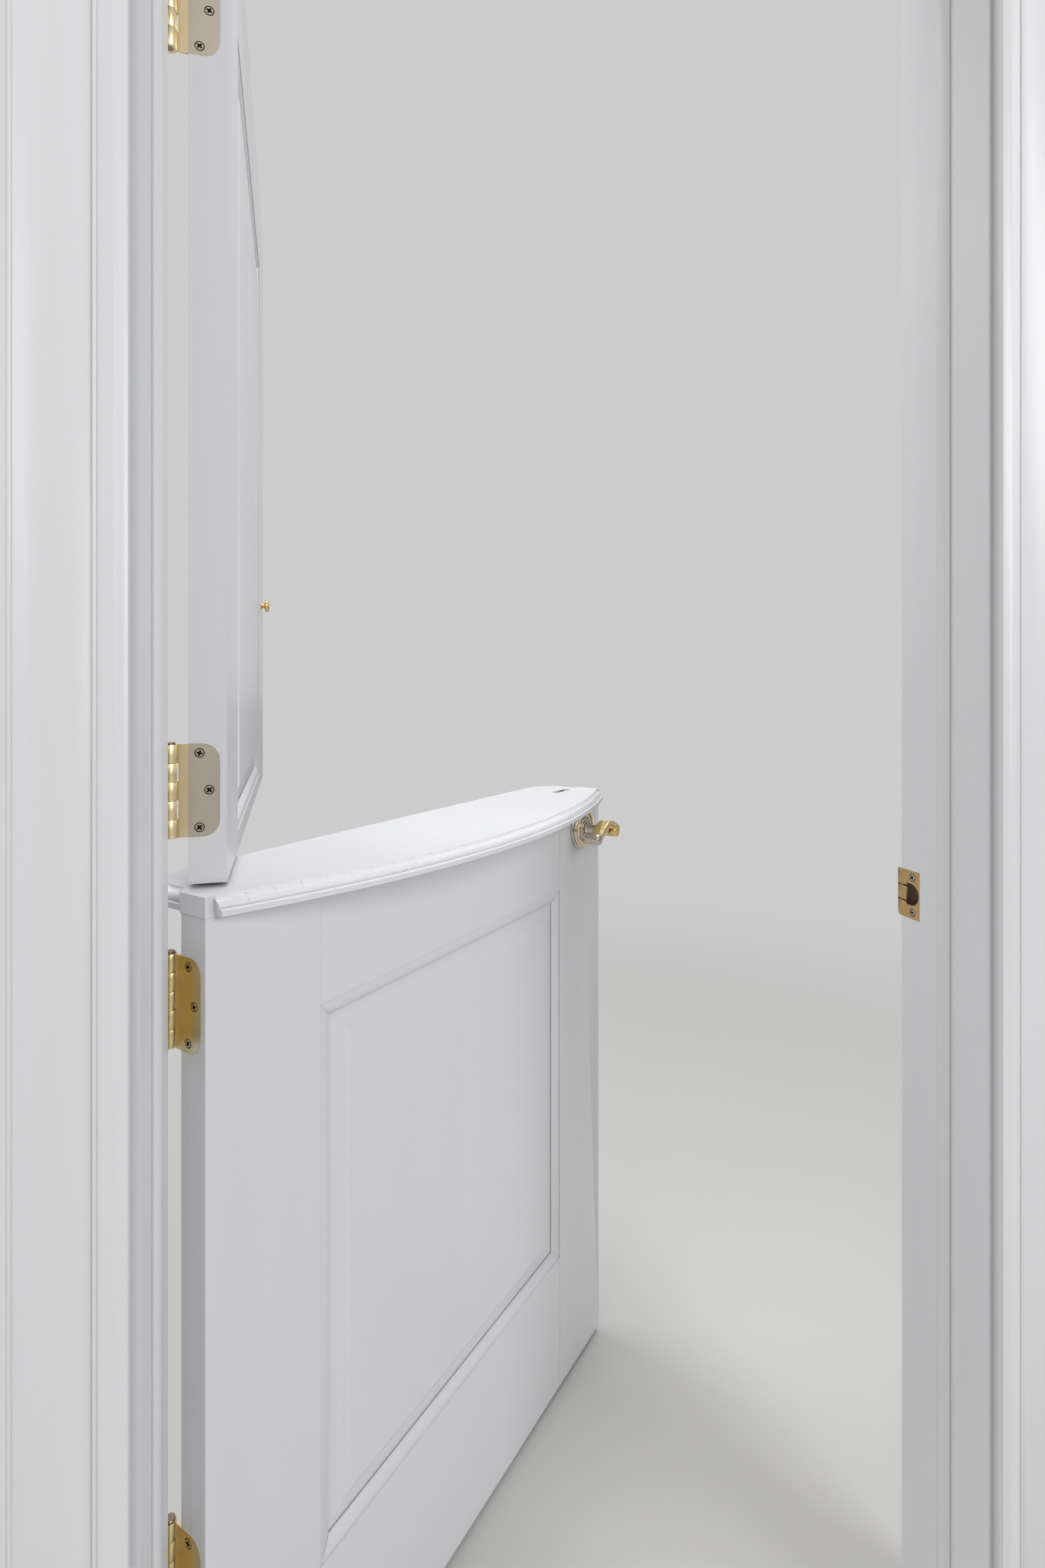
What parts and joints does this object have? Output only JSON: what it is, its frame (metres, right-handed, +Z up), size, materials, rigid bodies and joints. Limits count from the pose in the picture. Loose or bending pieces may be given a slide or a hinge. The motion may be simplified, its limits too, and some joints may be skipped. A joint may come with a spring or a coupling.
{
  "type": "dutch stable door",
  "caption": "Split interior door in its moulded frame: a lower leaf with a shelf and lever latch, an upper leaf with a bolt, each hung on its own butt hinges.",
  "frame": {"origin": "centre of the hinge jamb's foot", "axes": "+Z up, +X from the hinge jamb to the strike jamb, +Y from the hall side to the room side, into which both leaves open"},
  "size_m": [1.023, 0.9725, 2.1465],
  "materials": {
    "painted_wood": "cool white semi-gloss paint",
    "hinge_brass": "satin, slightly aged",
    "satin_brass": "satin",
    "polished_brass": "polished",
    "screw_steel": "plated, dull",
    "steel_works": "plain zinc plated"
  },
  "bodies": {
    "frame": {"hall_head_casing": "painted_wood", "hall_hinge_casing": "painted_wood", "hall_strike_casing": "painted_wood", "head_jamb": "painted_wood", "head_stop": "painted_wood", "hinge_jamb": "painted_wood", "hinge_stop": "painted_wood", "jamb_hinge_screws": "screw_steel", "lower_bottom_hinge_jamb_plate": "hinge_brass", "lower_bottom_hinge_pin": "hinge_brass", "lower_top_hinge_jamb_plate": "hinge_brass", "lower_top_hinge_pin": "hinge_brass", "room_head_casing": "painted_wood", "room_hinge_casing": "painted_wood", "room_strike_casing": "painted_wood", "strike_jamb": "painted_wood", "strike_plate": "satin_brass", "strike_screws": "screw_steel", "strike_stop": "painted_wood", "upper_bottom_hinge_jamb_plate": "hinge_brass", "upper_top_hinge_jamb_plate": "hinge_brass"},
    "lower_leaf": {"bolt_keeper": "satin_brass", "bolt_keeper_screws": "screw_steel", "hall_rose": "polished_brass", "latch_case": "steel_works", "latch_face_plate": "satin_brass", "latch_face_plate_screws": "screw_steel", "lock_rail": "painted_wood", "lower_bottom_hinge_leaf_plate": "hinge_brass", "lower_bottom_rail": "painted_wood", "lower_hinge_stile": "painted_wood", "lower_leaf_hinge_screws": "screw_steel", "lower_lock_stile": "painted_wood", "lower_panel": "painted_wood", "lower_top_hinge_leaf_plate": "hinge_brass", "room_rose": "polished_brass", "shelf": "painted_wood"},
    "upper_leaf": {"dutch_bolt_plate": "satin_brass", "dutch_bolt_screws": "screw_steel", "meeting_rail": "painted_wood", "pull_knob": "polished_brass", "pull_knob_screw": "screw_steel", "top_rail": "painted_wood", "upper_bottom_hinge_leaf_plate": "hinge_brass", "upper_bottom_hinge_pin": "hinge_brass", "upper_hinge_stile": "painted_wood", "upper_leaf_hinge_screws": "screw_steel", "upper_lock_stile": "painted_wood", "upper_panel": "painted_wood", "upper_top_hinge_leaf_plate": "hinge_brass", "upper_top_hinge_pin": "hinge_brass"},
    "handle": {"hall_lever": "polished_brass", "room_lever": "polished_brass", "spindle": "steel_works", "latch_hub": "steel_works"},
    "latch": {"latch_bolt": "steel_works"},
    "dutch_bolt": {"dutch_bolt_bar": "satin_brass"}
  },
  "joints": [
    {"name": "lower_leaf_hinge", "type": "hinge", "parent": "frame", "child": "lower_leaf", "pos_m": [0.0105, 0.078, 0.6], "axis": [0, 0, 1], "range_deg": [-42.6, 52.4]},
    {"name": "upper_leaf_hinge", "type": "hinge", "parent": "frame", "child": "upper_leaf", "pos_m": [0.0105, 0.078, 1.5], "axis": [0, 0, 1], "range_deg": [-90, 80]},
    {"name": "lever_turn", "type": "hinge", "parent": "lower_leaf", "child": "handle", "pos_m": [0.58083, 0.55694, 0.91], "axis": [0.6769, -0.7361, 0], "range_deg": [0, 45], "stiffness_Nm_per_rad": 0.8, "springref_deg": -40.11},
    {"name": "latch_slide", "type": "slide", "parent": "lower_leaf", "child": "latch", "axis": [-0.7361, -0.6769, 0], "range_m": [0, 0.0101]},
    {"name": "bolt_slide", "type": "slide", "parent": "upper_leaf", "child": "dutch_bolt", "axis": [0, 0, -1], "range_m": [0, 0.012]}
  ],
  "couplings": [
    {"joint": "latch_slide", "follows": "lever_turn", "m_per_rad": 0.012732}
  ]
}
